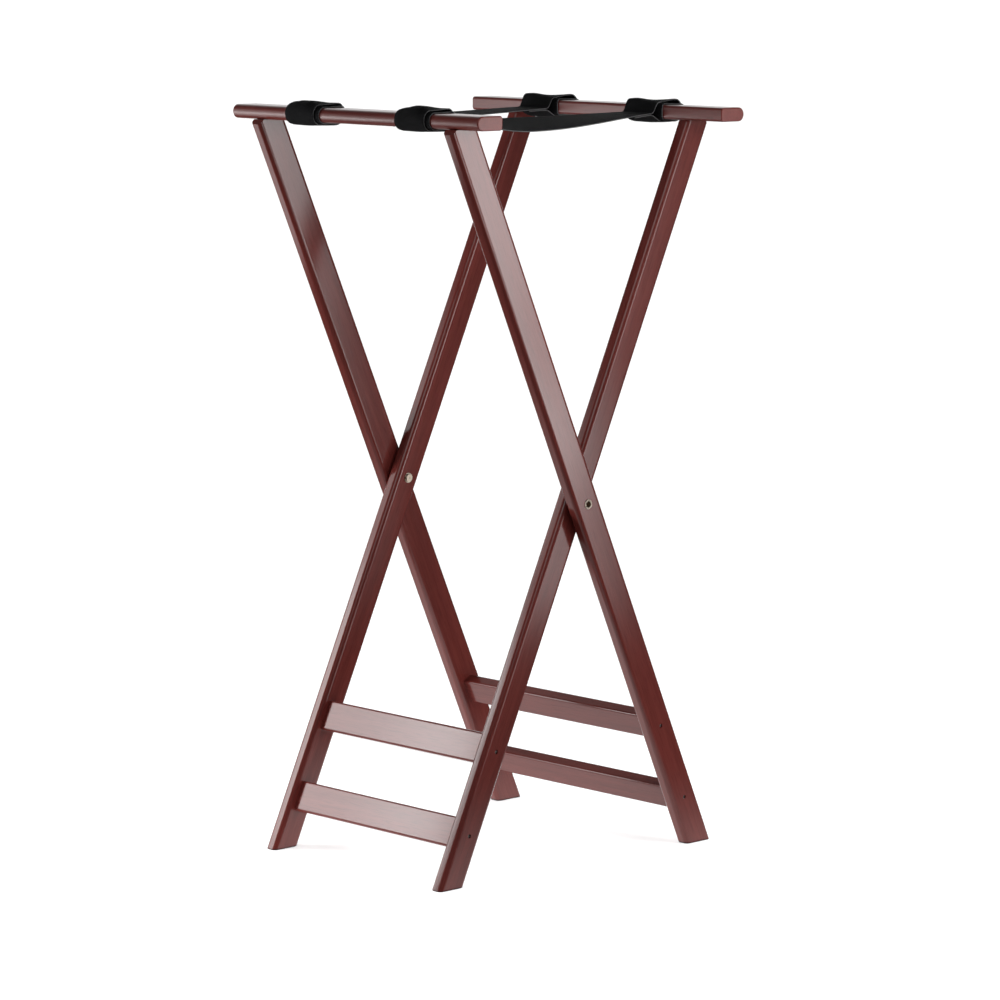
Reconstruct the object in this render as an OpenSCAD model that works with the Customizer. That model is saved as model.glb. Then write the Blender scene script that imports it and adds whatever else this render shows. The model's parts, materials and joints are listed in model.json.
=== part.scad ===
// Folding strap-top rack: two crossed wooden frames on one pivot line, held open by two webbing straps.
// Millimetres. +X runs along the rails to the right, +Y to the rear, +Z up; the origin is on the
// floor under the middle of the open rack. The outer frame leans back at the foot, the inner one forward.

/* [Overall] */
// Height of the rail tops above the floor, open
height = 965; // [930:5:1000]
// Height of the pivot line above the floor
pivot_z = 469; // [455:1:480]
// Angle of every leg from the vertical, open
leg_angle = 24.5; // [24:0.25:25]

/* [Rails] */
// Length of the outer frame's top rail, at the front
outer_rail_l = 455; // [430:1:480]
// Length of the inner frame's top rail, at the rear
inner_rail_l = 461; // [430:1:480]
// Depth of a rail from its round front to its flat back
rail_w = 42; // [40:1:44]
// Thickness of a rail
rail_h = 18; // [16:1:19]
// How far a rail's middle sits inside its leg line
rail_inset = 4.5; // [3:0.5:6]
// Radius of the upper and lower inner edges of a rail
rail_r = 4; // [2:0.5:5]

/* [Legs] */
// Width of the outer legs, seen from the side
outer_leg_w = 42; // [38:0.5:44]
// Width of the inner legs, seen from the side
inner_leg_w = 37.5; // [36:0.5:42]
// Thickness of every leg
leg_t = 19; // [18:0.5:20]
// Distance from the middle to the outer face of an outer leg
leg_x = 188; // [180:1:195]
// Gap between an outer leg and the inner leg beside it
leg_gap = 2; // [1.5:0.25:3]
// Rounding of the long leg edges
leg_r = 6; // [2:0.5:8]
// Bevel on the outer top corner of each leg
leg_bevel = 9; // [5:0.5:12]

/* [Stretchers] */
// Height of the outer frame's stretchers
outer_stretcher_h = 34; // [32:1:40]
// Height of the inner frame's stretchers
inner_stretcher_h = 40; // [34:1:42]
// Thickness of every stretcher
stretcher_t = 18; // [16:1:19]
// Rounding of the long stretcher edges
stretcher_r = 3; // [1:0.5:5]
// Distance from the pivot down the leg to the upper stretcher
upper_s = 333.5; // [300:0.5:345]
// Distance from the pivot down the leg to the lower stretcher
lower_s = 444.5; // [425:0.5:450]

/* [Pivots] */
// Outside diameter of the tubular rivets
rivet_d = 10; // [8:0.5:12]
// Inside diameter of the hollow end
rivet_bore = 8.4; // [6:0.1:8.8]
// Outside diameter of the rolled rim and of the head washer
rim_d = 13; // [12.5:0.5:16]
// Outside diameter of the spacer between the legs
spacer_d = 20; // [16:1:24]

/* [Fastenings] */
// Diameter of the screw recesses in the legs
recess_d = 5.5; // [5:0.5:7]
// Depth of the screw recesses in the legs
recess_depth = 5; // [4:0.5:6]
// Diameter of the stretcher dowels
stretcher_dowel_d = 6; // [5:1:6]
// Diameter of the rail dowels
rail_dowel_d = 8; // [6:1:8]
// Diameter of the wooden plugs over the rail screws
plug_d = 9; // [9:0.5:11]

/* [Straps] */
// Width of the webbing
webbing_w = 54.5; // [50:0.5:60]
// Thickness of the webbing
webbing_t = 1.8; // [1.5:0.1:2.4]
// Room for the collar between a loop and its rail
loop_gap = 2; // [2:0.25:3]
// How far each collar sits to the right of the loop over it
collar_shift = 8; // [5:0.5:12]
// How far a loop's sewn tip stands inside its rail
loop_reach = 15; // [14:0.5:17]
// Length of the sewn double layer next to a loop
seam_l = 32; // [20:1:40]
// How far the middle of an open strap hangs below its ends
strap_sag = 6; // [3:0.5:10]
// Middle of the left strap on the front rail
left_front_x = -95; // [-105:1:-85]
// Middle of the left strap on the rear rail
left_rear_x = -100; // [-105:1:-85]
// Middle of the right strap on the front rail
right_front_x = 108; // [85:1:110]
// Middle of the right strap on the rear rail
right_rear_x = 92; // [85:1:110]

/* [Hidden] */
$fn = 64;

OUTER = 1;
INNER = -1;
LEFT = -1;
RIGHT = 1;
wood = "#5b2c26";
inner_x = leg_x - leg_t - leg_gap;
rail_z = height - rail_h / 2;
leg_top_z = height - rail_h;
rail_y = (leg_top_z - pivot_z) * tan(leg_angle) - rail_inset;

// Free play around pieces that are glued or driven into wood, on the radius
fit = 0.05;
// Free play between faces that slide past each other
slip = 0.15;

// Rail fastenings, as distances from the middle of the rail towards the rack's outside
rail_screw_y = -7;
rail_screw_d = 4.5;
rail_screw_head_d = 8;
rail_screw_head_h = 4;
rail_screw_l = 42;
rail_dowel_y = 9;
rail_dowel_in_rail = 10;
rail_dowel_in_leg = 18;
plug_h = 5;

// Stretcher fastenings
screw_d = 3.5;
screw_l = 44;
screw_head_d = 5.3;
screw_head_h = 3;
dowel_offset = 10.5;
dowel_in_leg = 11;
dowel_in_stretcher = 20;

// Pivot details
washer_t = 1;
head_t = 2;
head_d = rivet_d + 1;
head_edge = 0.6;
head_dimple_d = 2.6;
head_dimple = 0.6;
hollow_l = 14;
rim_r = 1.1;

// Straps: the span turns at the loop's tip and again just before the middle of the strap
loop_in = rail_h / 2 + loop_gap;
loop_out = loop_in + webbing_t;
tip_y = rail_y - rail_w / 2 - loop_reach;
tip_z = rail_z - 2;
shoulder_y = rail_y - rail_w / 2 - 2;
fold_max = 38;
tip_r = norm([tip_y, tip_z - pivot_z]);
end_l = tip_r * sin(atan2(tip_y, tip_z - pivot_z) - fold_max / 2);
strap_slope = atan2(strap_sag, tip_y);
span_l = tip_y / cos(strap_slope) - end_l;
// Gaps between the pieces of one strap, and between a collar and its rail
part_gap = 0.3;
collar_gap = 0.1;

// A rounded rectangle, w wide and h high, about the origin
module rounded_rect(w, h, r) {
    square([w - 2 * r, h], center = true);
    square([w, h - 2 * r], center = true);
    for (x = [-1, 1], y = [-1, 1]) {
        translate([x * (w / 2 - r), y * (h / 2 - r)])
            circle(r);
    }
}

// Puts its children in a frame's own space: Z runs up the leg from the pivot, Y across the leg
module in_frame(kind) {
    translate([0, 0, pivot_z])
        rotate([kind * leg_angle, 0, 0])
            children();
}

// A round bar or hole along X, from x0 to x1
module rod_x(d, x0, x1) {
    translate([x0, 0, 0])
        rotate([0, 90, 0])
            cylinder(d = d, h = x1 - x0);
}

// The two stretchers' distances down the leg
function stretcher_places() = [upper_s, lower_s];

function leg_face(kind) = kind == OUTER ? leg_x : inner_x;
function rail_l(kind) = kind == OUTER ? outer_rail_l : inner_rail_l;
function leg_w(kind) = kind == OUTER ? outer_leg_w : inner_leg_w;
function stretcher_h(kind) = kind == OUTER ? outer_stretcher_h : inner_stretcher_h;

// Places its children at a rail's middle, with +Y towards the rack's outside
module at_rail(kind) {
    mirror([0, kind == OUTER ? 1 : 0, 0])
        translate([0, rail_y, rail_z])
            children();
}

// Rail section grown by g: the outer side is a full half round, the inner side flat with eased edges
module rail_section(g = 0) {
    half = rail_h / 2;
    translate([rail_w / 2 - half, 0])
        circle(half + g);
    translate([-rail_w / 2 + rail_r, -half - g])
        square([rail_w - rail_r - half, rail_h + 2 * g]);
    translate([-rail_w / 2 - g, -half + rail_r])
        square([rail_w / 2, rail_h - 2 * rail_r]);
    for (y = [-1, 1]) {
        translate([-rail_w / 2 + rail_r, y * (half - rail_r)])
            circle(rail_r + g);
    }
}

// Extrudes a Y-Z outline along X, centred
module along_x(l) {
    rotate([90, 0, 90])
        linear_extrude(height = l, center = true)
            children();
}

// Middle of the leg under a rail, on each side
function rail_fixing_x(kind) = leg_face(kind) - leg_t / 2;

module rail(kind) {
    color(wood)
        at_rail(kind)
            difference() {
                along_x(rail_l(kind))
                    rail_section();
                for (side = [LEFT, RIGHT]) {
                    translate([side * rail_fixing_x(kind), rail_screw_y, 0])
                        rail_screw_hole();
                    translate([side * rail_fixing_x(kind), rail_dowel_y, -rail_h / 2 - 1])
                        cylinder(d = rail_dowel_d + 2 * fit, h = rail_dowel_in_rail + 1.5);
                }
            }
}

// Counterbore, countersink and shank hole down through a rail, from its middle height
module rail_screw_hole() {
    top = rail_h / 2;
    translate([0, 0, top - plug_h])
        cylinder(d = plug_d + 2 * fit, h = plug_h + 1);
    translate([0, 0, top - plug_h - rail_screw_head_h])
        cylinder(d1 = rail_screw_d + 2 * fit, d2 = rail_screw_head_d + 2 * fit, h = rail_screw_head_h);
    translate([0, 0, -rail_h / 2 - 1])
        cylinder(d = rail_screw_d + 2 * fit, h = rail_h - plug_h);
}

module rail_screw() {
    head_top = rail_h / 2 - plug_h - fit;
    translate([0, 0, head_top - rail_screw_head_h])
        cylinder(d1 = rail_screw_d, d2 = rail_screw_head_d, h = rail_screw_head_h);
    translate([0, 0, head_top - rail_screw_l])
        cylinder(d = rail_screw_d, h = rail_screw_l - rail_screw_head_h);
}

module rail_screws(kind) {
    color("silver")
        at_rail(kind)
            for (side = [LEFT, RIGHT]) {
                translate([side * rail_fixing_x(kind), rail_screw_y, 0])
                    rail_screw();
            }
}

module rail_plugs(kind) {
    color(wood)
        at_rail(kind)
            for (side = [LEFT, RIGHT]) {
                translate([side * rail_fixing_x(kind), rail_screw_y, rail_h / 2 - plug_h])
                    cylinder(d = plug_d, h = plug_h);
            }
}

module rail_dowels(kind) {
    color("burlywood")
        at_rail(kind)
            for (side = [LEFT, RIGHT]) {
                translate([side * rail_fixing_x(kind), rail_dowel_y, -rail_h / 2 - rail_dowel_in_leg])
                    cylinder(d = rail_dowel_d, h = rail_dowel_in_leg + rail_dowel_in_rail);
            }
}

// One leg: a slanted bar cut level at the floor and under its rail, bevelled at the outer top corner
module leg(kind, side) {
    middle_x = leg_face(kind) - leg_t / 2;
    corner_y = (leg_top_z - pivot_z) * tan(leg_angle) + leg_w(kind) / 2 / cos(leg_angle);
    color(wood)
        difference() {
            intersection() {
                in_frame(kind)
                    translate([side * middle_x, 0, 0])
                        linear_extrude(height = 1.5 * height, center = true)
                            rounded_rect(leg_t, leg_w(kind), leg_r);
                translate([side * leg_x, 0, leg_top_z / 2])
                    cube([3 * leg_t + 2 * leg_x, height, leg_top_z], center = true);
            }
            translate([0, -kind * corner_y, leg_top_z])
                rotate([kind * 45, 0, 0])
                    cube([3 * leg_x, sqrt(2) * leg_bevel, sqrt(2) * leg_bevel], center = true);
            in_frame(kind)
                leg_holes(kind, side);
            at_rail(kind) {
                translate([side * middle_x, rail_dowel_y, -rail_h / 2 - rail_dowel_in_leg - 0.5])
                    cylinder(d = rail_dowel_d + 2 * fit, h = rail_dowel_in_leg + 1);
                translate([side * middle_x, rail_screw_y, rail_h / 2 - plug_h - rail_screw_l - 0.5])
                    cylinder(d = rail_screw_d + 2 * fit, h = rail_screw_l);
            }
        }
}

// Pivot hole, screw recesses and dowel holes of one leg, in its frame's space
module leg_holes(kind, side) {
    face = leg_face(kind);
    mirror([side == LEFT ? 1 : 0, 0, 0]) {
        rod_x(rivet_d + 2 * fit, face - leg_t - 1, face + 1);
        for (s = stretcher_places()) {
            translate([0, 0, -s]) {
                rod_x(recess_d, face - recess_depth, face + 1);
                rod_x(screw_d + 2 * fit, face - leg_t - 1, face - recess_depth + 0.5);
                for (z = [-dowel_offset, dowel_offset]) {
                    translate([0, 0, z])
                        rod_x(stretcher_dowel_d + 2 * fit, face - leg_t - 1, face - leg_t + dowel_in_leg + 0.5);
                }
            }
        }
    }
}

module stretcher(kind, s) {
    half = leg_face(kind) - leg_t;
    color(wood)
        in_frame(kind)
            translate([0, 0, -s])
                difference() {
                    along_x(2 * half)
                        rounded_rect(stretcher_t, stretcher_h(kind), stretcher_r);
                    for (side = [0, 1]) {
                        mirror([side, 0, 0]) {
                            rod_x(screw_d + 2 * fit, half - screw_l + leg_t, half + 1);
                            for (z = [-dowel_offset, dowel_offset]) {
                                translate([0, 0, z])
                                    rod_x(stretcher_dowel_d + 2 * fit, half - dowel_in_stretcher - 0.5, half + 1);
                            }
                        }
                    }
                }
}

// The four screws that hold one frame's stretchers, their heads sunk in the legs
module stretcher_screws(kind) {
    face = leg_face(kind);
    head_x = face - recess_depth;
    color("dimgray")
        in_frame(kind)
            for (side = [0, 1], s = stretcher_places()) {
                mirror([side, 0, 0])
                    translate([0, 0, -s]) {
                        rod_x(screw_head_d, head_x, head_x + screw_head_h);
                        rod_x(screw_d, face - screw_l, head_x + 0.5);
                    }
            }
}

// The eight dowels of one frame's stretchers, two at each end
module stretcher_dowels(kind) {
    half = leg_face(kind) - leg_t;
    color("burlywood")
        in_frame(kind)
            for (side = [0, 1], s = stretcher_places(), z = [-dowel_offset, dowel_offset]) {
                mirror([side, 0, 0])
                    translate([0, 0, z - s])
                        rod_x(stretcher_dowel_d, half - dowel_in_stretcher, half + dowel_in_leg);
            }
}

// Tubular rivet: head and washer inside the inner leg, rolled hollow rim outside the outer leg
module pivot_rivet(side) {
    head_x = inner_x - leg_t - slip - washer_t;
    color("#b9a987")
        mirror([side == LEFT ? 1 : 0, 0, 0])
            translate([0, 0, pivot_z])
                difference() {
                    union() {
                        rod_x(rivet_d, head_x - 0.5, leg_x + rim_r / 2);
                        translate([head_x - head_t, 0, 0])
                            rotate([0, 90, 0])
                                rivet_head();
                        translate([leg_x, 0, 0])
                            rotate([0, 90, 0])
                                rim();
                    }
                    rod_x(rivet_bore, leg_x - hollow_l, leg_x + 2 * rim_r);
                }
}

module rivet_head() {
    difference() {
        union() {
            cylinder(d1 = head_d - 2 * head_edge, d2 = head_d, h = head_edge);
            translate([0, 0, head_edge])
                cylinder(d = head_d, h = head_t - head_edge);
        }
        translate([0, 0, -1])
            cylinder(d = head_dimple_d, h = 1 + head_dimple);
    }
}

// The rolled rim: the outer half of a torus lying on the leg's face
module rim() {
    intersection() {
        rotate_extrude()
            translate([rim_d / 2 - rim_r, 0])
                circle(rim_r);
        cylinder(d = 2 * rim_d, h = 2 * rim_r);
    }
}

module ring_x(d, bore, x0, x1) {
    difference() {
        rod_x(d, x0, x1);
        rod_x(bore, x0 - 1, x1 + 1);
    }
}

module pivot_head_washer(side) {
    x1 = inner_x - leg_t - slip;
    color("#b9a987")
        mirror([side == LEFT ? 1 : 0, 0, 0])
            translate([0, 0, pivot_z])
                ring_x(rim_d, rivet_d + 2 * fit, x1 - washer_t, x1);
}

module pivot_spacer(side) {
    color("#d8d2c4")
        mirror([side == LEFT ? 1 : 0, 0, 0])
            translate([0, 0, pivot_z])
                ring_x(spacer_d, rivet_d + 2 * fit, inner_x + slip, leg_x - leg_t - slip);
}

// Turn of webbing drawn tight round a rail, under the loop
module strap_collar(kind, loop_x) {
    color("#1c1c1e")
        translate([loop_x + collar_shift, 0, 0])
            at_rail(kind)
                along_x(webbing_w)
                    difference() {
                        rail_section(collar_gap + webbing_t);
                        rail_section(collar_gap);
                    }
}

// Webbing loop around a rail, drawn with the rack's outside at +Y: round, flat above and below, and
// drawn in to a sewn tip
module loop_section() {
    nose = rail_w / 2 - rail_h / 2;
    inner = shoulder_y - rail_y;
    tip = tip_y - rail_y;
    dz = tip_z - rail_z;
    difference() {
        translate([nose, 0])
            circle(loop_out);
        translate([nose, 0])
            circle(loop_in);
        translate([nose - 2 * loop_out, -2 * loop_out])
            square([2 * loop_out, 4 * loop_out]);
    }
    for (y = [loop_in, -loop_out]) {
        translate([inner, y])
            square([nose - inner, webbing_t]);
    }
    polygon([
        [inner, loop_out], [tip, dz + webbing_t], [tip, dz - webbing_t], [inner, -loop_out],
        [inner, -loop_in], [tip + 2 * webbing_t, dz], [inner, loop_in]
    ]);
}

module strap_loop(kind, x) {
    color("#1c1c1e")
        translate([x, 0, 0])
            at_rail(kind)
                along_x(webbing_w)
                    loop_section();
}

// Where a strap's middle line lies across the rack, at a distance y from the middle towards one rail
function strap_x(rail_end_x, other_end_x, y) =
    (rail_end_x + other_end_x) / 2 + (rail_end_x - other_end_x) / 2 * y / rail_y;

// A flat length of webbing between two distances y0 > y1 from the middle, skewed to follow the strap
module webbing_strip(near_x, far_x, y0, y1, t) {
    x0 = strap_x(near_x, far_x, y0);
    x1 = strap_x(near_x, far_x, y1);
    half = webbing_w / 2;
    linear_extrude(height = t)
        polygon([
            [x0 - half, y0 - tip_y], [x0 + half, y0 - tip_y],
            [x1 + half, y1 - tip_y], [x1 - half, y1 - tip_y]
        ]);
}

// Puts its children on the strap's sloping middle line, from a loop's tip towards the middle
module on_strap(kind) {
    mirror([0, kind == OUTER ? 1 : 0, 0])
        translate([0, tip_y, tip_z])
            rotate([strap_slope, 0, 0])
                children();
}

// From a loop's tip to the turn, with the second layer of the sewn seam underneath
module strap_span(kind, near_x, far_x) {
    color("#1c1c1e")
        on_strap(kind) {
            translate([0, 0, -webbing_t / 2])
                webbing_strip(near_x, far_x, tip_y - part_gap, tip_y - span_l + part_gap / 2, webbing_t);
            translate([0, 0, -1.5 * webbing_t])
                webbing_strip(near_x, far_x, tip_y - part_gap, tip_y - seam_l, 1.1 * webbing_t);
        }
}

// From the turn to the middle of the strap
module strap_end(kind, near_x, far_x) {
    y0 = tip_y - span_l - part_gap / 2;
    color("#1c1c1e")
        on_strap(kind)
            translate([0, 0, -webbing_t / 2])
                webbing_strip(near_x, far_x, y0, y0 - end_l + part_gap, webbing_t);
}

rail(OUTER);  // outer_rail
rail(INNER);  // inner_rail
leg(OUTER, LEFT);  // outer_leg_left
leg(OUTER, RIGHT);  // outer_leg_right
leg(INNER, LEFT);  // inner_leg_left
leg(INNER, RIGHT);  // inner_leg_right
stretcher(OUTER, upper_s);  // outer_upper_stretcher
stretcher(OUTER, lower_s);  // outer_lower_stretcher
stretcher(INNER, upper_s);  // inner_upper_stretcher
stretcher(INNER, lower_s);  // inner_lower_stretcher
pivot_rivet(LEFT);  // pivot_rivet_left
pivot_rivet(RIGHT);  // pivot_rivet_right
pivot_head_washer(LEFT);  // pivot_head_washer_left
pivot_head_washer(RIGHT);  // pivot_head_washer_right
pivot_spacer(LEFT);  // pivot_spacer_left
pivot_spacer(RIGHT);  // pivot_spacer_right
rail_screws(OUTER);  // outer_rail_screws
rail_screws(INNER);  // inner_rail_screws
rail_plugs(OUTER);  // outer_rail_plugs
rail_plugs(INNER);  // inner_rail_plugs
rail_dowels(OUTER);  // outer_rail_dowels
rail_dowels(INNER);  // inner_rail_dowels
stretcher_screws(OUTER);  // outer_stretcher_screws
stretcher_screws(INNER);  // inner_stretcher_screws
stretcher_dowels(OUTER);  // outer_stretcher_dowels
stretcher_dowels(INNER);  // inner_stretcher_dowels
strap_collar(OUTER, left_front_x);  // left_strap_front_collar
strap_loop(OUTER, left_front_x);  // left_strap_front_loop
strap_span(OUTER, left_front_x, left_rear_x);  // left_strap_front_span
strap_end(OUTER, left_front_x, left_rear_x);  // left_strap_front_end
strap_collar(INNER, left_rear_x);  // left_strap_rear_collar
strap_loop(INNER, left_rear_x);  // left_strap_rear_loop
strap_span(INNER, left_rear_x, left_front_x);  // left_strap_rear_span
strap_end(INNER, left_rear_x, left_front_x);  // left_strap_rear_end
strap_collar(OUTER, right_front_x);  // right_strap_front_collar
strap_loop(OUTER, right_front_x);  // right_strap_front_loop
strap_span(OUTER, right_front_x, right_rear_x);  // right_strap_front_span
strap_end(OUTER, right_front_x, right_rear_x);  // right_strap_front_end
strap_collar(INNER, right_rear_x);  // right_strap_rear_collar
strap_loop(INNER, right_rear_x);  // right_strap_rear_loop
strap_span(INNER, right_rear_x, right_front_x);  // right_strap_rear_span
strap_end(INNER, right_rear_x, right_front_x);  // right_strap_rear_end
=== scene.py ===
# Folding strap-top rack in stained wood: looks, straps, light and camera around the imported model.
import json
import math

import bmesh
import bpy
from mathutils import Matrix, Vector


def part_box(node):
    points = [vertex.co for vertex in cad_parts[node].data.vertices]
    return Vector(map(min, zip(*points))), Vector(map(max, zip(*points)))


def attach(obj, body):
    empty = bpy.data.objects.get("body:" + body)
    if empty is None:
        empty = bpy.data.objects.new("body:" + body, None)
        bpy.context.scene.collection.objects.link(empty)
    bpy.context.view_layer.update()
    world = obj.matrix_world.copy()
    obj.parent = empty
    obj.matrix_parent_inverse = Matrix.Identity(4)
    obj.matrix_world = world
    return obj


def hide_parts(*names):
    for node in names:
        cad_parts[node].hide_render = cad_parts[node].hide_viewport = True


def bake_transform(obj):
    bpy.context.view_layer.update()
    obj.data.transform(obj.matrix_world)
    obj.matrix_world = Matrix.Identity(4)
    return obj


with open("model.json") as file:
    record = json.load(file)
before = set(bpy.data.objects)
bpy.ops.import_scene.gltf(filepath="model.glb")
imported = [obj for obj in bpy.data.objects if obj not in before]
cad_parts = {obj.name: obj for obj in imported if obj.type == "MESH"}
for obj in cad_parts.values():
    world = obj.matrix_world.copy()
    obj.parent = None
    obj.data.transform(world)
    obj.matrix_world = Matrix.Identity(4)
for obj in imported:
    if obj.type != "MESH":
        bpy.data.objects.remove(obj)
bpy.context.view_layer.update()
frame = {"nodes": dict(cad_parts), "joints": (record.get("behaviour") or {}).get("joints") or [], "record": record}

MM = 0.001
TAU = 2 * math.pi


# ---------------------------------------------------------------- measures taken from the frame

def joint(name):
    """The frame's record of one joint."""
    return next(j for j in frame["joints"] if j["name"] == name)


RAIL_LOW, RAIL_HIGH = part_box("inner_rail")
RAIL_MID_Y = (RAIL_LOW.y + RAIL_HIGH.y) / 2
RAIL_MID_Z = (RAIL_LOW.z + RAIL_HIGH.z) / 2
RAIL_HALF_W = (RAIL_HIGH.y - RAIL_LOW.y) / 2
RAIL_R = (RAIL_HIGH.z - RAIL_LOW.z) / 2
TIP = Vector(joint("left_strap_rear_swing")["pos_m"])
TURN = Vector(joint("left_strap_rear_turn")["pos_m"])
PIVOT = Vector(joint("fold")["pos_m"])
FOOT = next(Vector(m["pos_m"]) for m in frame["record"]["mounts"] if m["name"] == "foot_rear_right")
LEG_ANGLE = math.atan2(FOOT.y, PIVOT.z)

COLLAR_LOW, COLLAR_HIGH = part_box("left_strap_front_collar")
WEB_GAP = 0.1 * MM
WEB_T = (COLLAR_HIGH.z - COLLAR_LOW.z) / 2 - RAIL_R - WEB_GAP
SEAM_L = 32 * MM
STRAP_W = COLLAR_HIGH.x - COLLAR_LOW.x


# ---------------------------------------------------------------- small helpers

def new_mesh(name, verts, faces, smooth=True):
    mesh = bpy.data.meshes.new(name)
    mesh.from_pydata(verts, [], faces)
    mesh.validate()
    mesh.polygons.foreach_set("use_smooth", [smooth] * len(mesh.polygons))
    obj = bpy.data.objects.new(name, mesh)
    bpy.context.scene.collection.objects.link(obj)
    return obj


def give(obj, material):
    """Make this the piece's only material."""
    obj.data.materials.clear()
    obj.data.materials.append(material)


def follow(keys, x):
    """Value at x of a curve that eases from one (place, value) key to the next."""
    if x <= keys[0][0]:
        return keys[0][1]
    for (x0, v0), (x1, v1) in zip(keys, keys[1:]):
        if x < x1:
            t = (x - x0) / (x1 - x0)
            return v0 + (v1 - v0) * t * t * (3 - 2 * t)
    return keys[-1][1]


class Nodes:
    """Short calls for building a material's node tree."""

    def __init__(self, name):
        self.material = bpy.data.materials.new(name)
        self.material.use_nodes = True
        self.tree = self.material.node_tree
        self.tree.nodes.clear()
        self.out = self.add("ShaderNodeOutputMaterial")
        self.shader = self.add("ShaderNodeBsdfPrincipled")
        self.link(self.shader.outputs[0], self.out.inputs["Surface"])

    def add(self, kind, **values):
        node = self.tree.nodes.new(kind)
        for key, value in values.items():
            setattr(node, key, value)
        return node

    def link(self, a, b):
        self.tree.links.new(a, b)

    def set(self, **values):
        for key, value in values.items():
            self.shader.inputs[key.replace("_", " ")].default_value = value

    def object_coords(self, rotation=(0, 0, 0), scale=(1, 1, 1), location=(0, 0, 0)):
        coords = self.add("ShaderNodeTexCoord")
        turn = self.add("ShaderNodeMapping")
        turn.inputs["Rotation"].default_value = rotation
        turn.inputs["Location"].default_value = location
        self.link(coords.outputs["Object"], turn.inputs["Vector"])
        stretch = self.add("ShaderNodeMapping")
        stretch.inputs["Scale"].default_value = scale
        self.link(turn.outputs[0], stretch.inputs["Vector"])
        return stretch.outputs[0]

    def strip_coords(self):
        """Across and along a strip of webbing, in metres, as stored on its mesh."""
        node = self.add("ShaderNodeAttribute", attribute_name="strip")
        parts = self.add("ShaderNodeSeparateXYZ")
        self.link(node.outputs["Vector"], parts.inputs[0])
        return node.outputs["Vector"], parts.outputs["X"], parts.outputs["Y"]

    def noise(self, vector, scale, detail=4.0, roughness=0.55, distortion=0.0):
        node = self.add("ShaderNodeTexNoise")
        node.inputs["Scale"].default_value = scale
        node.inputs["Detail"].default_value = detail
        node.inputs["Roughness"].default_value = roughness
        node.inputs["Distortion"].default_value = distortion
        self.link(vector, node.inputs["Vector"])
        return node.outputs["Fac"]

    def ramp(self, value, *stops):
        node = self.add("ShaderNodeValToRGB")
        ramp = node.color_ramp
        while len(ramp.elements) < len(stops):
            ramp.elements.new(0.5)
        for element, (place, colour) in zip(ramp.elements, stops):
            element.position = place
            element.color = (*colour, 1)
        self.link(value, node.inputs["Fac"])
        return node.outputs["Color"]

    def mix(self, factor, a, b, blend="MIX"):
        node = self.add("ShaderNodeMix", data_type="RGBA", blend_type=blend)
        for socket, value in ((node.inputs[0], factor), (node.inputs[6], a), (node.inputs[7], b)):
            if isinstance(value, bpy.types.NodeSocket):
                self.link(value, socket)
            elif isinstance(value, (int, float)):
                socket.default_value = value
            else:
                socket.default_value = (*value, 1)
        return node.outputs[2]

    def math(self, operation, a, b=0.0):
        node = self.add("ShaderNodeMath", operation=operation)
        for socket, value in zip(node.inputs, (a, b)):
            if isinstance(value, bpy.types.NodeSocket):
                self.link(value, socket)
            else:
                socket.default_value = value
        return node.outputs[0]

    def spread(self, value, low, high):
        node = self.add("ShaderNodeMapRange")
        node.inputs["To Min"].default_value = low
        node.inputs["To Max"].default_value = high
        self.link(value, node.inputs["Value"])
        return node.outputs[0]

    def bump(self, height, distance, strength=1.0, under=None):
        node = self.add("ShaderNodeBump")
        node.inputs["Distance"].default_value = distance
        node.inputs["Strength"].default_value = strength
        self.link(height, node.inputs["Height"])
        if under is not None:
            self.link(under, node.inputs["Normal"])
        return node.outputs[0]


# ---------------------------------------------------------------- materials

ALONG_X = (0, math.pi / 2, 0)
YARN_W = 1.3 * MM
YARN_L = 3.2 * MM
STAIN_DARK = (0.100, 0.0185, 0.0150)
STAIN_LIGHT = (0.190, 0.0360, 0.0290)
DOWEL_DARK = (0.42, 0.27, 0.14)
DOWEL_LIGHT = (0.62, 0.44, 0.26)
PALE_BRASS = (0.58, 0.49, 0.40)
DARK_STEEL = (0.16, 0.14, 0.13)
PALE_NYLON = (0.62, 0.58, 0.50)
WEB_BLACK = (0.013, 0.013, 0.014)
# Grey on the webbing's cut edges: a painted highlight along them, not the webbing's colour.
WEB_EDGE_PAINTED_HIGHLIGHT = (0.13, 0.13, 0.133)
THREAD_BLACK = (0.016, 0.016, 0.018)


def shaded(colour, share):
    return tuple(c * share for c in colour)


def stained_wood(name, rotation, seed, tone, roughness):
    """Red-brown stain under satin lacquer; the grain runs along Z after the rotation."""
    n = Nodes(name)
    shift = (seed * 0.37, seed * 0.61, seed * 0.23)
    grain = n.object_coords(rotation, (1, 1, 0.045), shift)
    blotch = n.object_coords(rotation, (1, 1, 0.25), shift)
    streaks = n.noise(grain, 240, 5, 0.6)
    bands = n.noise(grain, 55, 3, 0.5, 0.6)
    pores = n.noise(grain, 900, 2, 0.5)
    clouds = n.noise(blotch, 9, 3, 0.55)
    colour = n.mix(n.spread(bands, 0.0, 1.0), shaded(STAIN_DARK, tone), shaded(STAIN_LIGHT, tone))
    fine = n.ramp(streaks, (0.32, (0.84, 0.80, 0.80)), (0.62, (1.0, 1.0, 1.0)))
    colour = n.mix(0.7, colour, fine, "MULTIPLY")
    pore = n.ramp(pores, (0.36, (0.55, 0.52, 0.52)), (0.47, (1, 1, 1)))
    colour = n.mix(0.4, colour, pore, "MULTIPLY")
    cloud = n.ramp(clouds, (0.35, (0.80, 0.76, 0.76)), (0.65, (1.15, 1.10, 1.1)))
    colour = n.mix(0.5, colour, cloud, "MULTIPLY")
    n.link(colour, n.shader.inputs["Base Color"])
    n.link(n.spread(streaks, roughness - 0.03, roughness + 0.03), n.shader.inputs["Roughness"])
    n.link(n.bump(streaks, 0.00003, 0.4, n.bump(clouds, 0.0004, 0.25)), n.shader.inputs["Normal"])
    n.set(IOR=1.5)
    return n.material


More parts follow.
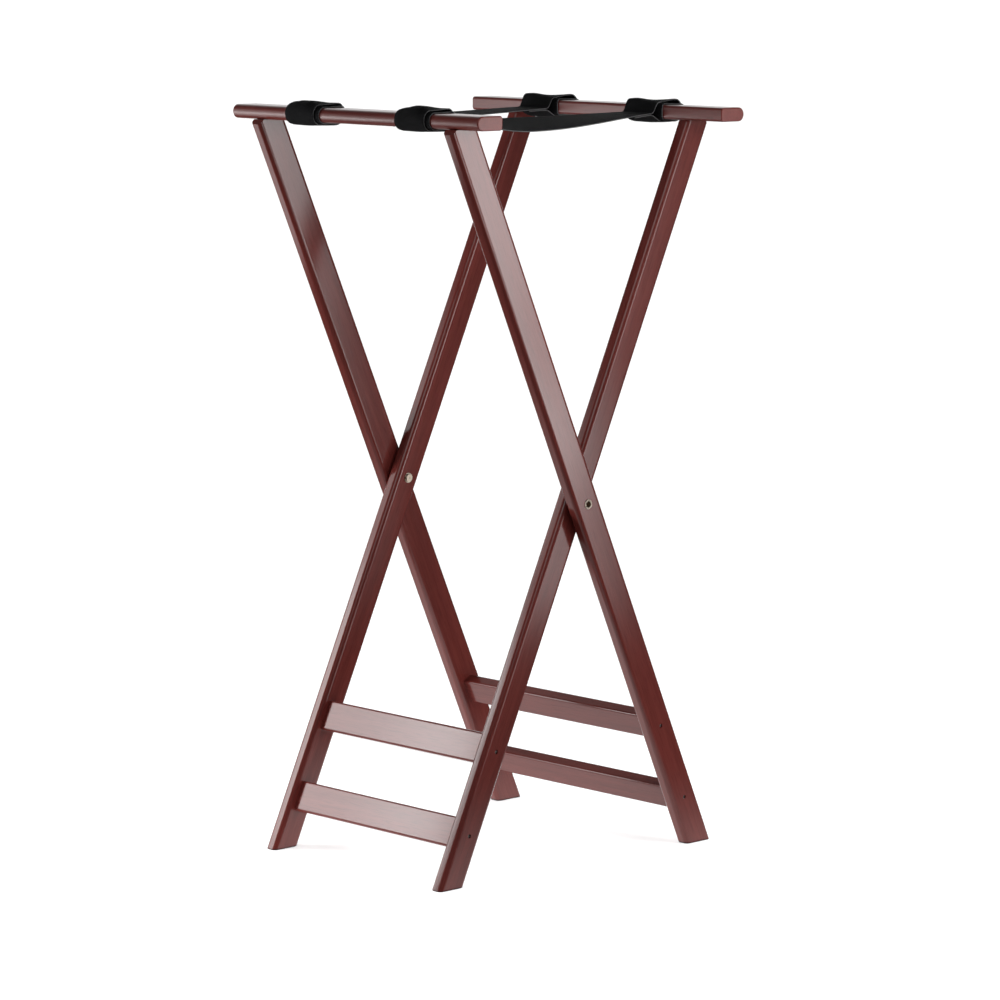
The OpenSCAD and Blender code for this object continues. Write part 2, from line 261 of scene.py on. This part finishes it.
def webbing(name, tint, roughness, specular):
    """Black polypropylene webbing: yarns side by side along the strap, each crossed by the weft."""
    n = Nodes(name)
    coords, across, along = n.strip_coords()
    yarn = n.math("DIVIDE", across, YARN_W)
    shift = n.math("MULTIPLY", n.math("FLOOR", yarn), 0.5)
    knot = n.math("ADD", n.math("DIVIDE", along, YARN_L), shift)
    round_yarn = n.math("ABSOLUTE", n.math("SINE", n.math("MULTIPLY", yarn, math.pi)))
    round_knot = n.math("ABSOLUTE", n.math("SINE", n.math("MULTIPLY", knot, math.pi)))
    weave = n.math("MULTIPLY", n.math("SQRT", round_yarn), n.math("SQRT", round_knot))
    fuzz = n.noise(coords, 1400, 3, 0.6)
    patches = n.noise(coords, 45, 3, 0.5)
    # Painted shade: the grooves between the yarns and under the weft are darkened to 35% of the tint.
    colour = n.mix(weave, shaded(tint, 0.35), tint)
    colour = n.mix(n.spread(patches, 0.0, 0.6), colour, shaded(tint, 0.7))
    n.link(colour, n.shader.inputs["Base Color"])
    n.link(n.spread(fuzz, roughness - 0.08, roughness + 0.1), n.shader.inputs["Roughness"])
    n.link(n.bump(weave, 0.0004, 0.8, n.bump(fuzz, 0.0002, 0.4)), n.shader.inputs["Normal"])
    n.set(Specular_IOR_Level=specular)
    return n.material


def metal(name, colour, roughness, wear=0.06):
    """Worn metal; its roughness varies by wear on both sides of the given one."""
    n = Nodes(name)
    coords = n.object_coords()
    grain = n.noise(coords, 1500, 3, 0.6)
    stain = n.noise(coords, 180, 4, 0.6)
    tint = n.mix(n.spread(stain, 0.0, 1.0), colour, shaded(colour, 0.72))
    n.link(tint, n.shader.inputs["Base Color"])
    n.link(n.spread(grain, roughness - wear, roughness + wear), n.shader.inputs["Roughness"])
    n.link(n.bump(grain, 0.00003, 0.5), n.shader.inputs["Normal"])
    n.set(Metallic=1.0)
    return n.material


def plain_wood(name):
    """Bare light wood, with its grain along X."""
    n = Nodes(name)
    grain = n.noise(n.object_coords(ALONG_X, (1, 1, 0.1)), 400, 4)
    n.link(n.mix(grain, DOWEL_DARK, DOWEL_LIGHT), n.shader.inputs["Base Color"])
    n.link(n.spread(grain, 0.5, 0.7), n.shader.inputs["Roughness"])
    return n.material


def matte_plastic(name, colour):
    """Dull moulded plastic."""
    n = Nodes(name)
    grain = n.noise(n.object_coords(), 700, 3)
    n.link(n.mix(grain, colour, shaded(colour, 0.85)), n.shader.inputs["Base Color"])
    n.link(n.spread(grain, 0.45, 0.6), n.shader.inputs["Roughness"])
    return n.material


# ---------------------------------------------------------------- the CAD nodes' materials

# How the grain is turned on each kind of bar.
GRAIN = {
    "outer_leg": (-LEG_ANGLE, 0, 0),
    "inner_leg": (LEG_ANGLE, 0, 0),
    "rail": ALONG_X,
    "stretcher": ALONG_X,
}

# Tones for single pieces, lighter than most; every other piece gets its tone from its place in the list.
TONES = {
    "outer_leg_right": 1.1,
    "inner_leg_left": 1.05,
    "outer_rail": 1.15,
    "inner_upper_stretcher": 1.25,
    "inner_lower_stretcher": 1.25,
}

EASED = 1.6 * MM
LEG_AND_STRETCHER_ROUGHNESS = 0.14
RAIL_ROUGHNESS = 0.32


def at_eased_end(name, vert):
    """True where a bar's sawn end is rounded over: under a leg's foot and at both ends of a rail."""
    if "leg" in name:
        return vert.co.z < 0.1 * MM
    low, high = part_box(name)
    return min(vert.co.x - low.x, high.x - vert.co.x) < 0.1 * MM


def ease_ends(name, body):
    """A copy of a leg or rail whose sawn ends have rounded edges; it stands for the node."""
    source = frame["nodes"][name]
    mesh = source.data.copy()
    mesh.name = name + "_eased"
    bm = bmesh.new()
    bm.from_mesh(mesh)
    bmesh.ops.remove_doubles(bm, verts=bm.verts, dist=1e-6)
    bmesh.ops.dissolve_limit(bm, angle_limit=math.radians(0.5), verts=bm.verts, edges=bm.edges)
    edges = [
        e for e in bm.edges
        if len(e.link_faces) == 2 and e.calc_face_angle() > math.radians(35)
        and all(at_eased_end(name, v) for v in e.verts)
    ]
    bmesh.ops.bevel(bm, geom=edges, offset=EASED, segments=3, profile=0.5, affect="EDGES")
    bm.to_mesh(mesh)
    bm.free()
    mesh.polygons.foreach_set("use_smooth", [True] * len(mesh.polygons))
    mesh.set_sharp_from_angle(angle=math.radians(32))
    obj = bpy.data.objects.new(name + "_wood", mesh)
    bpy.context.scene.collection.objects.link(obj)
    obj.modifiers.new("flat faces stay flat", "WEIGHTED_NORMAL").keep_sharp = True
    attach(obj, body)
    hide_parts(name)
    return obj


def dress_wood(name, index):
    """Stain one wooden node. The index sets its grain and, where TONES doesn't, its tone."""
    kind = next((k for k in GRAIN if k in name), "rail")
    roughness = RAIL_ROUGHNESS if "rail" in name else LEG_AND_STRETCHER_ROUGHNESS
    tone = TONES.get(name, 0.9 + 0.05 * (index % 5))
    material = stained_wood("wood_" + name, GRAIN[kind], index, tone, roughness)
    give(frame["nodes"][name], material)
    if "leg" in name or name in ("inner_rail", "outer_rail"):
        give(ease_ends(name, name.split("_")[0] + "_frame"), material)


def dress_cad():
    """Give every CAD node but the straps its material."""
    brass = metal("pale_brass", PALE_BRASS, 0.36)
    steel = metal("dark_screw", DARK_STEEL, 0.45)
    bare = plain_wood("bare_dowel")
    nylon = matte_plastic("spacer_nylon", PALE_NYLON)
    for index, (name, obj) in enumerate(sorted(frame["nodes"].items())):
        if "screws" in name:
            give(obj, steel)
        elif "dowels" in name:
            give(obj, bare)
        elif "spacer" in name:
            give(obj, nylon)
        elif name.startswith("pivot"):
            give(obj, brass)
        elif "strap" not in name:
            dress_wood(name, index)


# ---------------------------------------------------------------- webbing

EDGE_COLUMNS = (-1.0, -0.985, -0.955, -0.9, -0.75, -0.6, -0.45, -0.3, -0.15, 0.0)
EDGE_COLUMNS += tuple(-u for u in reversed(EDGE_COLUMNS[:-1]))
FLAT_SHARE = 0.955
THINNEST_SHARE_SQUARED = 0.09


def web_half_thickness(u):
    """Half the webbing's thickness at u, from -1 at one edge to 1 at the other: the edges are rounded."""
    over = max(abs(u) - FLAT_SHARE, 0) / (1 - FLAT_SHARE)
    return WEB_T / 2 * math.sqrt(max(1 - over * over, THINNEST_SHARE_SQUARED))


def web_strip(name, surface, stations, closed=False):
    """Strip of webbing over surface(s, u) -> (point, normal), for s in stations and u across. Its cut
    edges take the second material, a painted highlight. Returns the piece and its length."""
    verts = []
    places = []
    columns = EDGE_COLUMNS
    length = 0.0
    last_middle = None
    for s in stations:
        middle = surface(s, 0.0)[0]
        length += (middle - last_middle).length if last_middle else 0.0
        last_middle = middle
        for side, order in ((1, columns), (-1, tuple(reversed(columns)))):
            for u in order:
                point, normal = surface(s, u)
                verts.append(point + normal * (side * web_half_thickness(u)))
                places.append((u * STRAP_W / 2, length, side * WEB_T))
    ring = 2 * len(columns)
    count = len(columns)
    rows = len(stations)
    faces = []
    edge_faces = []
    for i in range(rows if closed else rows - 1):
        for k in range(ring):
            here = i * ring
            there = (i + 1) % rows * ring
            # Faces at the cut edges, which get the grey painted highlight.
            if k % count in (0, count - 2, count - 1):
                edge_faces.append(len(faces))
            faces.append((here + k, here + (k + 1) % ring, there + (k + 1) % ring, there + k))
    if not closed:
        for base, flip in ((0, False), ((rows - 1) * ring, True)):
            for k in range(count - 1):
                quad = (base + k, base + k + 1, base + ring - 2 - k, base + ring - 1 - k)
                faces.append(quad if flip else tuple(reversed(quad)))
    obj = new_mesh(name, verts, faces)
    strip = obj.data.attributes.new("strip", "FLOAT_VECTOR", "POINT")
    strip.data.foreach_set("vector", [c for place in places for c in place])
    for face in edge_faces:
        obj.data.polygons[face].material_index = 1
    return obj, length


def finish_web(obj, materials):
    for material in materials:
        obj.data.materials.append(material)


def span_points(a, b, step=2.5 * MM):
    """Stations from a to b, a step apart."""
    count = max(int(abs(b - a) / step), 2)
    return [a + (b - a) * i / count for i in range(count + 1)]


class Strap:
    """One strap. Distances y run along the rack's Y; each end has its own middle on its rail."""

    def __init__(self, side, front_x, rear_x, width, sag_left, sag_right, low_y):
        self.side = side
        self.front_x = front_x
        self.rear_x = rear_x
        self.width = width
        self.sags = (sag_left, sag_right)
        self.low_y = low_y

    def x(self, y, u):
        middle = (self.front_x + self.rear_x) / 2 + (self.rear_x - self.front_x) / 2 * y / RAIL_MID_Y
        return middle + u * self.width / 2

    def z(self, y, u):
        """Height of the middle of the webbing: each edge sags by its own amount to its lowest point."""
        sag = self.sags[0] + (self.sags[1] - self.sags[0]) * (u + 1) / 2
        if y < self.low_y:
            t = (y + TIP.y) / (self.low_y + TIP.y)
        else:
            t = (TIP.y - y) / (TIP.y - self.low_y)
        t = min(max(t, 0.0), 1.0)
        return TIP.z - sag * math.sin(t * math.pi / 2) ** 1.25

    def surface(self, y, u, drop=0.0):
        d = 0.5 * MM
        slope = (self.z(y + d, u) - self.z(y - d, u)) / (2 * d)
        tilt = (self.z(y, min(u + 0.05, 1)) - self.z(y, max(u - 0.05, -1))) / (0.1 * self.width / 2)
        normal = Vector((-tilt, -slope, 1)).normalized()
        return Vector((self.x(y, u), y, self.z(y, u))) - normal * drop, normal


# How far the inside of each loop stands off its rail's top, in millimetres, from its left edge at -1
# to its right edge at 1: it rides over the collar and bulges where the strap is pushed together.
# The first profile is over the rail's round side, the second where the loop leaves the rail's flat side.
LOOP_TOPS = {
    "left_front": (
        ((-1, 3.4), (-0.7, 5.4), (-0.2, 6.8), (0.4, 6.8), (0.75, 4.4), (0.93, 3.2)),
        ((-1, 3.0), (0.4, 3.6), (0.93, 4.2)),
    ),
    "right_front": (
        ((-1, 2.4), (-0.6, 4.6), (0.1, 7.4), (0.5, 7.2), (0.8, 4.2), (0.93, 3.0)),
        ((-1, 2.6), (0.4, 3.6), (0.93, 4.2)),
    ),
    "left_rear": (
        ((-1, 3.0), (0, 3.4), (0.5, 4.6), (0.93, 5.6)),
        ((-1, 5.8), (-0.6, 6.4), (0.2, 4.4), (0.93, 3.0)),
    ),
    "right_rear": (
        ((-1, 3.0), (0, 3.4), (0.5, 4.6), (0.93, 5.6)),
        ((-1, 5.4), (-0.6, 6.2), (0.2, 4.4), (0.93, 3.0)),
    ),
}
# The same round the rail's nose and under the rail, alike on all four loops.
LOOP_NOSES = ((-1, 1.6), (-0.7, 2.6), (0.4, 2.8), (0.95, 2.3))
LOOP_UNDERS = ((-1, 1.8), (-0.7, 2.8), (0.2, 3.1), (0.95, 2.4))
# How far a collar lifts off the rail's inner top edge.
COLLAR_PUFF = 0.8 * MM


def loop_path(top, inner_top, nose_gap, under):
    """Middle line of a loop in (outward, up) about the rail's middle, from the seam's lower layer round the
    rail's nose to its upper layer. The rail's round side is outward."""
    nose = RAIL_HALF_W - RAIL_R
    tip = TIP.y - RAIL_MID_Y
    tip_z = TIP.z - RAIL_MID_Z
    shoulder = -RAIL_HALF_W - 0.5 * MM
    half = WEB_T / 2
    low = -(RAIL_R + under + half)
    high = RAIL_R + top + half
    points = [(tip, tip_z - WEB_T), (tip + 5 * MM, tip_z - 3.2 * MM), (shoulder - 2.5 * MM, low + 3.0 * MM)]
    points += [(shoulder + 4 * MM, low), (shoulder * 0.3, low - 0.3 * MM), (nose * 0.6, low)]
    out = RAIL_R + nose_gap + half
    for k in range(-4, 5):
        a = k * math.pi / 9
        points.append((nose + out * math.cos(a), (high + low) / 2 + (high - low) / 2 * math.sin(a)))
    inner = RAIL_R + inner_top + half
    points += [(nose * 0.6, high), (shoulder * 0.3, (high + inner) / 2), (shoulder + 5 * MM, inner)]
    points += [(shoulder - 2.5 * MM, inner - 2.0 * MM), (tip + 5 * MM, tip_z + 2.4 * MM), (tip, tip_z)]
    return points


def collar_path():
    """Middle line of the collar drawn round the rail; it puffs up at the rail's inner top edge."""
    puff = COLLAR_PUFF
    nose = RAIL_HALF_W - RAIL_R
    off = RAIL_R + WEB_GAP + WEB_T / 2
    back = -RAIL_HALF_W - WEB_GAP - WEB_T / 2
    points = [(nose + off * math.cos(a), off * math.sin(a)) for a in (k * math.pi / 8 for k in range(-4, 5))]
    points += [(nose * 0.2, off + 0.1 * puff), (back * 0.45, off + 0.5 * puff), (back * 0.8, off + puff)]
    points += [(back + 1.2 * MM, off * 0.85 + 0.6 * puff), (back - 0.1 * puff, off * 0.45), (back, 0)]
    points += [(back, -off * 0.45), (back + 1.4 * MM, -off * 0.86), (back * 0.8, -off), (back * 0.3, -off)]
    return points


def smooth_curve(points, per=6, closed=False):
    """Catmull-Rom through the points, with ends held or joined."""
    pts = [Vector(p) for p in points]
    if closed:
        pts = [pts[-1]] + pts + pts[:2]
    else:
        pts = [2 * pts[0] - pts[1]] + pts + [2 * pts[-1] - pts[-2]]
    out = []
    for i in range(1, len(pts) - 2):
        p0, p1, p2, p3 = pts[i - 1:i + 3]
        for k in range(per):
            t = k / per
            out.append(0.5 * ((2 * p1) + (p2 - p0) * t + (2 * p0 - 5 * p1 + 4 * p2 - p3) * t * t
                              + (3 * p1 - p0 - 3 * p2 + p3) * t ** 3))
    if not closed:
        out.append(pts[-2])
    return out


def wrap_surface(place, count, closed, outward):
    """Point and outward normal of a wrap whose middle line at column u is place(i, u)."""
    def surface(i, u):
        if closed:
            before = (i - 1) % count
            after = (i + 1) % count
        else:
            before = max(i - 1, 0)
            after = min(i + 1, count - 1)
        along = (place(after, u) - place(before, u)).normalized()
        normal = Vector((1, 0, 0)).cross(along) * outward
        return place(i, u), normal.normalized()
    return surface


def make_collar(side, end, materials):
    """The turn of webbing drawn tight round the rail, under the loop."""
    outward = -1 if end == "front" else 1
    base = f"{side}_strap_{end}"
    low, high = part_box(base + "_collar")
    path = smooth_curve(collar_path(), 5, True)

    def place(i, u):
        return Vector((
            (low.x + high.x) / 2 + u * (high.x - low.x) / 2,
            outward * (RAIL_MID_Y + path[i].x),
            RAIL_MID_Z + path[i].y,
        ))

    surface = wrap_surface(place, len(path), True, outward)
    obj, length = web_strip(base + "_collar_webbing", surface, range(len(path)), True)
    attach(obj, "outer_frame" if end == "front" else "inner_frame")
    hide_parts(base + "_collar")
    finish_web(obj, materials)


def make_loop(strap, end, materials):
    """The sewn loop round one rail; end is 'front' or 'rear'."""
    outward = -1 if end == "front" else 1
    tops, inner_tops = LOOP_TOPS[f"{strap.side}_{end}"]
    paths = {
        u: smooth_curve(loop_path(
            follow(tops, u) * MM, follow(inner_tops, u) * MM,
            follow(LOOP_NOSES, u) * MM, follow(LOOP_UNDERS, u) * MM,
        ))
        for u in EDGE_COLUMNS
    }
    mid_x = strap.front_x if end == "front" else strap.rear_x
    lean = (strap.rear_x - strap.front_x) / (2 * RAIL_MID_Y)

    def place(i, u):
        p = paths[u][i]
        y = outward * (RAIL_MID_Y + p.x)
        x = mid_x + u * strap.width / 2 + lean * (y - outward * RAIL_MID_Y)
        return Vector((x, y, RAIL_MID_Z + p.y))

    count = len(paths[0.0])
    surface = wrap_surface(place, count, False, outward)
    obj, length = web_strip(f"{strap.side}_strap_{end}_loop_webbing", surface, range(count))
    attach(obj, "outer_frame" if end == "front" else "inner_frame")
    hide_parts(f"{strap.side}_strap_{end}_loop")
    finish_web(obj, materials)


STITCH_L = 3.0 * MM
STITCH_D = 0.7 * MM
STITCH_SIDES = 6
STITCH_STEP = 3.9 * MM
STITCH_EDGE = 4.0 * MM
STITCH_LIFT = 0.1 * MM


def stitch(centre, along, up, verts, faces):
    """One sewn stitch: a small spindle of thread lying along the seam."""
    side = along.cross(up).normalized()
    start = len(verts)
    end = start + STITCH_SIDES + 1
    verts.append(centre - along * STITCH_L / 2)
    for k in range(STITCH_SIDES):
        a = k * TAU / STITCH_SIDES
        verts.append(centre + (side * math.cos(a) + up * math.sin(a)) * STITCH_D / 2)
    verts.append(centre + along * STITCH_L / 2)
    for k in range(STITCH_SIDES):
        here = start + 1 + k
        there = start + 1 + (k + 1) % STITCH_SIDES
        faces.append((start, there, here))
        faces.append((end, here, there))


def make_stitches(strap, end, material):
    """A sewn box through both layers of the seam, on top and underneath."""
    sign = -1 if end == "front" else 1
    near = TIP.y - STITCH_EDGE
    far = TIP.y - SEAM_L + STITCH_EDGE
    edge = 1 - 2 * STITCH_EDGE / strap.width
    across = int(edge * strap.width / STITCH_STEP)
    down = int((near - far) / STITCH_STEP)
    spots = []
    for k in range(across + 1):
        u = -edge + 2 * edge * k / across
        spots += [(near, u, True), (far, u, True)]
    for k in range(1, down):
        y = near + (far - near) * k / down
        spots += [(y, -edge, False), (y, edge, False)]
    verts = []
    faces = []
    for y, u, crosswise in spots:
        for side, drop in ((1, 0.0), (-1, WEB_T)):
            point, normal = strap.surface(sign * y, u, drop)
            forward = Vector((1, 0, 0)) if crosswise else Vector((0, 1, 0))
            along = (forward - normal * forward.dot(normal)).normalized()
            centre = point + normal * side * (WEB_T / 2 + STITCH_LIFT)
            stitch(centre, along, normal * side, verts, faces)
    obj = new_mesh(f"{strap.side}_strap_{end}_stitches", verts, faces)
    give(obj, material)
    return obj


def make_span(strap, end, materials, thread):
    """The strap from a loop's tip to its middle, in two pieces that meet halfway between the tip and the turn."""
    sign = -1 if end == "front" else 1
    base = f"{strap.side}_strap_{end}"
    middle = sign * (TIP.y + TURN.y) / 2
    tip = sign * TIP.y
    upper, upper_l = web_strip(base + "_upper_webbing", strap.surface, span_points(tip, middle))
    tail, tail_l = web_strip(
        base + "_seam_webbing", lambda y, u: strap.surface(y, u, WEB_T), span_points(tip, tip - sign * SEAM_L)
    )
    lower, lower_l = web_strip(base + "_lower_webbing", strap.surface, span_points(middle, 0.0, 1.5 * MM))
    stitches = make_stitches(strap, end, thread)
    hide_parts(base + "_span")
    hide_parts(base + "_end")
    for obj in (upper, tail, stitches):
        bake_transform(obj)
    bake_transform(lower)
    finish_web(upper, materials)
    finish_web(tail, materials)
    finish_web(lower, materials)


# Each strap's sag at its left and right edge, and the distance from the middle where it hangs lowest.
SAGS = {
    "left": (4 * MM, 6 * MM, -30 * MM),
    "right": (1.5 * MM, 16 * MM, -45 * MM),
}


def make_straps():
    """Both straps, each with a collar, a loop and half a span at either end."""
    cloth = webbing("black_webbing", WEB_BLACK, 0.75, 0.06)
    # The second material paints a grey highlight on the webbing's cut edges.
    edge = webbing("webbing_edge_painted_highlight", WEB_EDGE_PAINTED_HIGHLIGHT, 0.5, 0.6)
    thread = webbing("black_thread", THREAD_BLACK, 0.5, 0.5)
    for side, (sag_left, sag_right, low_y) in SAGS.items():
        middles = {}
        for end in ("front", "rear"):
            low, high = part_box(f"{side}_strap_{end}_loop")
            middles[end] = (low.x + high.x) / 2
        strap = Strap(side, middles["front"], middles["rear"], STRAP_W, sag_left, sag_right, low_y)
        for end in ("front", "rear"):
            make_collar(side, end, (cloth, edge))
            make_loop(strap, end, (cloth, edge))
            make_span(strap, end, (cloth, edge), thread)


# ---------------------------------------------------------------- floor, light and camera

FLOOR_HALF = 90
PAPER_DARK = (0.80, 0.80, 0.80)
PAPER_LIGHT = (0.82, 0.82, 0.82)


def make_stage():
    """White paper that takes shadows and neither tints the object nor shows in its lacquer."""
    corners = [(-1, -1, 0), (1, -1, 0), (1, 1, 0), (-1, 1, 0)]
    verts = [Vector(corner) * FLOOR_HALF for corner in corners]
    floor = new_mesh("floor", verts, [(0, 1, 2, 3)], False)
    n = Nodes("floor_paper")
    speckle = n.noise(n.object_coords(), 300, 2)
    n.link(n.mix(speckle, PAPER_DARK, PAPER_LIGHT), n.shader.inputs["Base Color"])
    n.set(Roughness=0.9, Specular_IOR_Level=0.1)
    give(floor, n.material)
    floor.visible_glossy = False
    floor.visible_diffuse = False
    return floor


# Where the pale backdrop stands, the cosines of the angles from it where its glow starts and is full,
# and the strengths away from it and at its middle.
BACKDROP_DIRECTION = (-0.80, 0.58, 0.14)
BACKDROP_EDGE = 0.80
BACKDROP_FULL = 0.97
STUDIO_DIM = 0.08
BACKDROP_GLOW = 1.6


def make_world():
    """White to the camera; to the object, a dim studio with a pale backdrop glowing behind."""
    world = bpy.data.worlds.new("studio")
    world.use_nodes = True
    tree = world.node_tree
    tree.nodes.clear()
    out = tree.nodes.new("ShaderNodeOutputWorld")
    pick = tree.nodes.new("ShaderNodeMixShader")
    path = tree.nodes.new("ShaderNodeLightPath")
    white = tree.nodes.new("ShaderNodeBackground")
    studio = tree.nodes.new("ShaderNodeBackground")
    coords = tree.nodes.new("ShaderNodeTexCoord")
    dot = tree.nodes.new("ShaderNodeVectorMath")
    dot.operation = "DOT_PRODUCT"
    dot.inputs[1].default_value = BACKDROP_DIRECTION
    fade = tree.nodes.new("ShaderNodeMapRange")
    fade.interpolation_type = "SMOOTHSTEP"
    fade.inputs["From Min"].default_value = BACKDROP_EDGE
    fade.inputs["From Max"].default_value = BACKDROP_FULL
    fade.inputs["To Min"].default_value = STUDIO_DIM
    fade.inputs["To Max"].default_value = BACKDROP_GLOW
    tree.links.new(coords.outputs["Generated"], dot.inputs[0])
    tree.links.new(dot.outputs["Value"], fade.inputs["Value"])
    tree.links.new(fade.outputs[0], studio.inputs["Strength"])
    tree.links.new(path.outputs["Is Camera Ray"], pick.inputs[0])
    tree.links.new(studio.outputs[0], pick.inputs[1])
    tree.links.new(white.outputs[0], pick.inputs[2])
    tree.links.new(pick.outputs[0], out.inputs["Surface"])
    for background in (white, studio):
        background.inputs["Color"].default_value = (1, 1, 1, 1)
    bpy.context.scene.world = world


def add_light(name, kind, place, aim):
    """A light at place, pointing at aim, which the camera doesn't see."""
    data = bpy.data.lights.new(name, kind)
    obj = bpy.data.objects.new(name, data)
    obj.location = place
    obj.rotation_euler = (Vector(aim) - Vector(place)).to_track_quat("-Z", "Y").to_euler()
    obj.visible_camera = False
    bpy.context.scene.collection.objects.link(obj)
    return obj


def rectangle(light, width, height, radiance):
    """Make an area light a panel of this size that glows evenly with this radiance."""
    light.shape = "RECTANGLE"
    light.size = width
    light.size_y = height
    light.energy = radiance * math.pi * width * height


def soften(light, first, last, bottom, top):
    """Fade a panel towards its edges; each share is how much of its width or height the fade takes. First
    and last are the edges where the panel's aside span starts and ends."""
    light.use_nodes = True
    tree = light.node_tree
    emission = next(n for n in tree.nodes if n.type == "EMISSION")
    geometry = tree.nodes.new("ShaderNodeNewGeometry")
    parts = tree.nodes.new("ShaderNodeSeparateXYZ")
    tree.links.new(geometry.outputs["Parametric"], parts.inputs[0])
    strength = None
    for axis, low, high in (("X", first, last), ("Y", bottom, top)):
        for start, share in ((0.0, low), (1.0, high)):
            if not share:
                continue
            fade = tree.nodes.new("ShaderNodeMapRange")
            fade.interpolation_type = "SMOOTHSTEP"
            fade.inputs["From Min"].default_value = start
            fade.inputs["From Max"].default_value = abs(start - share)
            tree.links.new(parts.outputs[axis], fade.inputs["Value"])
            if strength is None:
                strength = fade.outputs[0]
            else:
                product = tree.nodes.new("ShaderNodeMath")
                product.operation = "MULTIPLY"
                tree.links.new(strength, product.inputs[0])
                tree.links.new(fade.outputs[0], product.inputs[1])
                strength = product.outputs[0]
    tree.links.new(strength, emission.inputs["Strength"])


def softbox(name, azimuth, distance, aside, height, radiance, fades, lean=0):
    """Upright glowing panel facing the middle. Aside is its span along its own face, height its span up,
    fades are its soft edges, and lean turns it in its own plane."""
    a = math.radians(azimuth)
    out = Vector((math.cos(a), math.sin(a), 0))
    along = Vector((-math.sin(a), math.cos(a), 0))
    place = out * distance + along * sum(aside) / 2 + Vector((0, 0, sum(height) / 2))
    obj = add_light(name, "AREA", place, place - out)
    rectangle(obj.data, aside[1] - aside[0], height[1] - height[0], radiance)
    turn = Matrix.Rotation(math.radians(lean), 3, out)
    obj.rotation_euler = (turn @ obj.rotation_euler.to_matrix()).to_euler()
    soften(obj.data, *fades)
    return obj


def kicker(name, place, aim, size, radiance):
    """Small near light that brings out the stain's colour; it doesn't show in the lacquer."""
    obj = add_light(name, "AREA", place, aim)
    rectangle(obj.data, size, size, radiance)
    obj.visible_glossy = False


GLOW_FADE = 0.4


def floor_glow(name, middle, width, depth, radiance):
    """Lit paper on the floor, as the light it sends up."""
    obj = add_light(name, "AREA", (middle[0], middle[1], MM), (middle[0], middle[1], 1))
    rectangle(obj.data, width, depth, radiance)
    soften(obj.data, GLOW_FADE, GLOW_FADE, GLOW_FADE, GLOW_FADE)


LEFT = -139
RIGHT = 42
FLOOR_LIGHT = 3.9
FLOOR_LIGHT_ANGLE = 70

# name, azimuth in degrees, distance, aside, height, radiance, fades (first, last, bottom, top), lean
PANELS = (
    ("softbox_left", LEFT, 1.4, (-0.16, 0.225), (0.30, 1.0), 4.2, (0.1, 0.05, 0.2, 0.2), 15),
    ("softbox_left_core", LEFT, 1.38, (0.0, 0.225), (0.35, 0.92), 5.8, (0.9, 0.05, 0.2, 0.2), 15),
    ("spill_left", LEFT, 1.45, (-0.8, 0.3), (0.0, 1.5), 2.0, (0.2, 0.3, 0, 0.2), 0),
    ("softbox_right", RIGHT, 1.6, (-0.50, 0.03), (0.24, 1.06), 3.6, (0.25, 0.05, 0.2, 0.1), -14),
    ("softbox_right_core", RIGHT, 1.58, (-0.50, -0.08), (0.28, 1.06), 3.2, (0.25, 0.3, 0.2, 0.1), -10),
    ("spill_right", RIGHT, 1.65, (-1.1, 0.07), (0.0, 0.55), 2.8, (0.2, 0.12, 0.25, 0.4), 0),
)
FILL = ("fill", -54, 2.3, (-0.9, 0.9), (1.4, 3.0), 1.7, (0.2, 0.2, 0.2, 0.2))
# name, place, aim, size, radiance
KICKERS = (
    ("kicker_left", (-0.9, -1.0, 0.4), (-0.1, -0.1, 0.4), 0.4, 14.0),
    ("kicker_right", (1.0, 0.1, 1.1), (0.0, -0.1, 0.7), 0.4, 9.0),
)
# name, middle, width, depth, radiance
FLOOR_GLOWS = (
    ("paper_glow", (-0.2, 0), 1.8, 1.4, 1.2),
    ("paper_glow_right", (3.0, 0), 3.0, 1.4, 6.0),
)


def light_floor(floor):
    """Soft light from above that only the floor takes, so that the paper comes out white."""
    sky = add_light("floor_light", "SUN", (0, 0, 4), (0, 0, 0))
    sky.data.energy = FLOOR_LIGHT
    sky.data.angle = math.radians(FLOOR_LIGHT_ANGLE)
    sky.data.use_shadow = False
    group = bpy.data.collections.new("floor_light_receivers")
    group.objects.link(floor)
    sky.light_linking.receiver_collection = group


def make_lights(floor):
    """Two softboxes with a brighter core and their spill, two kickers, a fill above the camera, the glow of
    the lit paper and the floor's own light."""
    for panel in PANELS:
        softbox(*panel)
    for light in KICKERS:
        kicker(*light)
    fill = softbox(*FILL)
    fill.rotation_euler = fill.location.to_track_quat("Z", "Y").to_euler()
    for glow in FLOOR_GLOWS:
        floor_glow(*glow)
    light_floor(floor)


CAMERA_AZIMUTH = 45.96
CAMERA_ELEVATION = 7.98
CAMERA_ROLL = 0.35
CAMERA_DISTANCE = 5.187
CAMERA_TARGET = (0.0275, 0.0, 0.4576)
CAMERA_FOCAL = 4.0097  # focal length over image width
SENSOR_W = 36
CAMERA_REACH = 200


def make_camera():
    """The camera at the photographer's place, aimed at CAMERA_TARGET."""
    data = bpy.data.cameras.new("camera")
    data.sensor_width = SENSOR_W
    data.lens = CAMERA_FOCAL * SENSOR_W
    data.clip_end = CAMERA_REACH
    obj = bpy.data.objects.new("camera", data)
    azimuth = math.radians(CAMERA_AZIMUTH)
    elevation = math.radians(CAMERA_ELEVATION)
    back = Vector((
        math.sin(azimuth) * math.cos(elevation),
        -math.cos(azimuth) * math.cos(elevation),
        math.sin(elevation),
    ))
    obj.location = Vector(CAMERA_TARGET) + back * CAMERA_DISTANCE
    turn = back.to_track_quat("Z", "Y").to_matrix().to_4x4()
    roll = turn @ Matrix.Rotation(math.radians(CAMERA_ROLL), 4, "Z")
    obj.rotation_euler = roll.to_euler()
    bpy.context.scene.collection.objects.link(obj)
    bpy.context.scene.camera = obj


make_camera()
dress_cad()
make_straps()
floor = make_stage()
make_world()
make_lights(floor)
bpy.context.scene.view_settings.view_transform = "Standard"
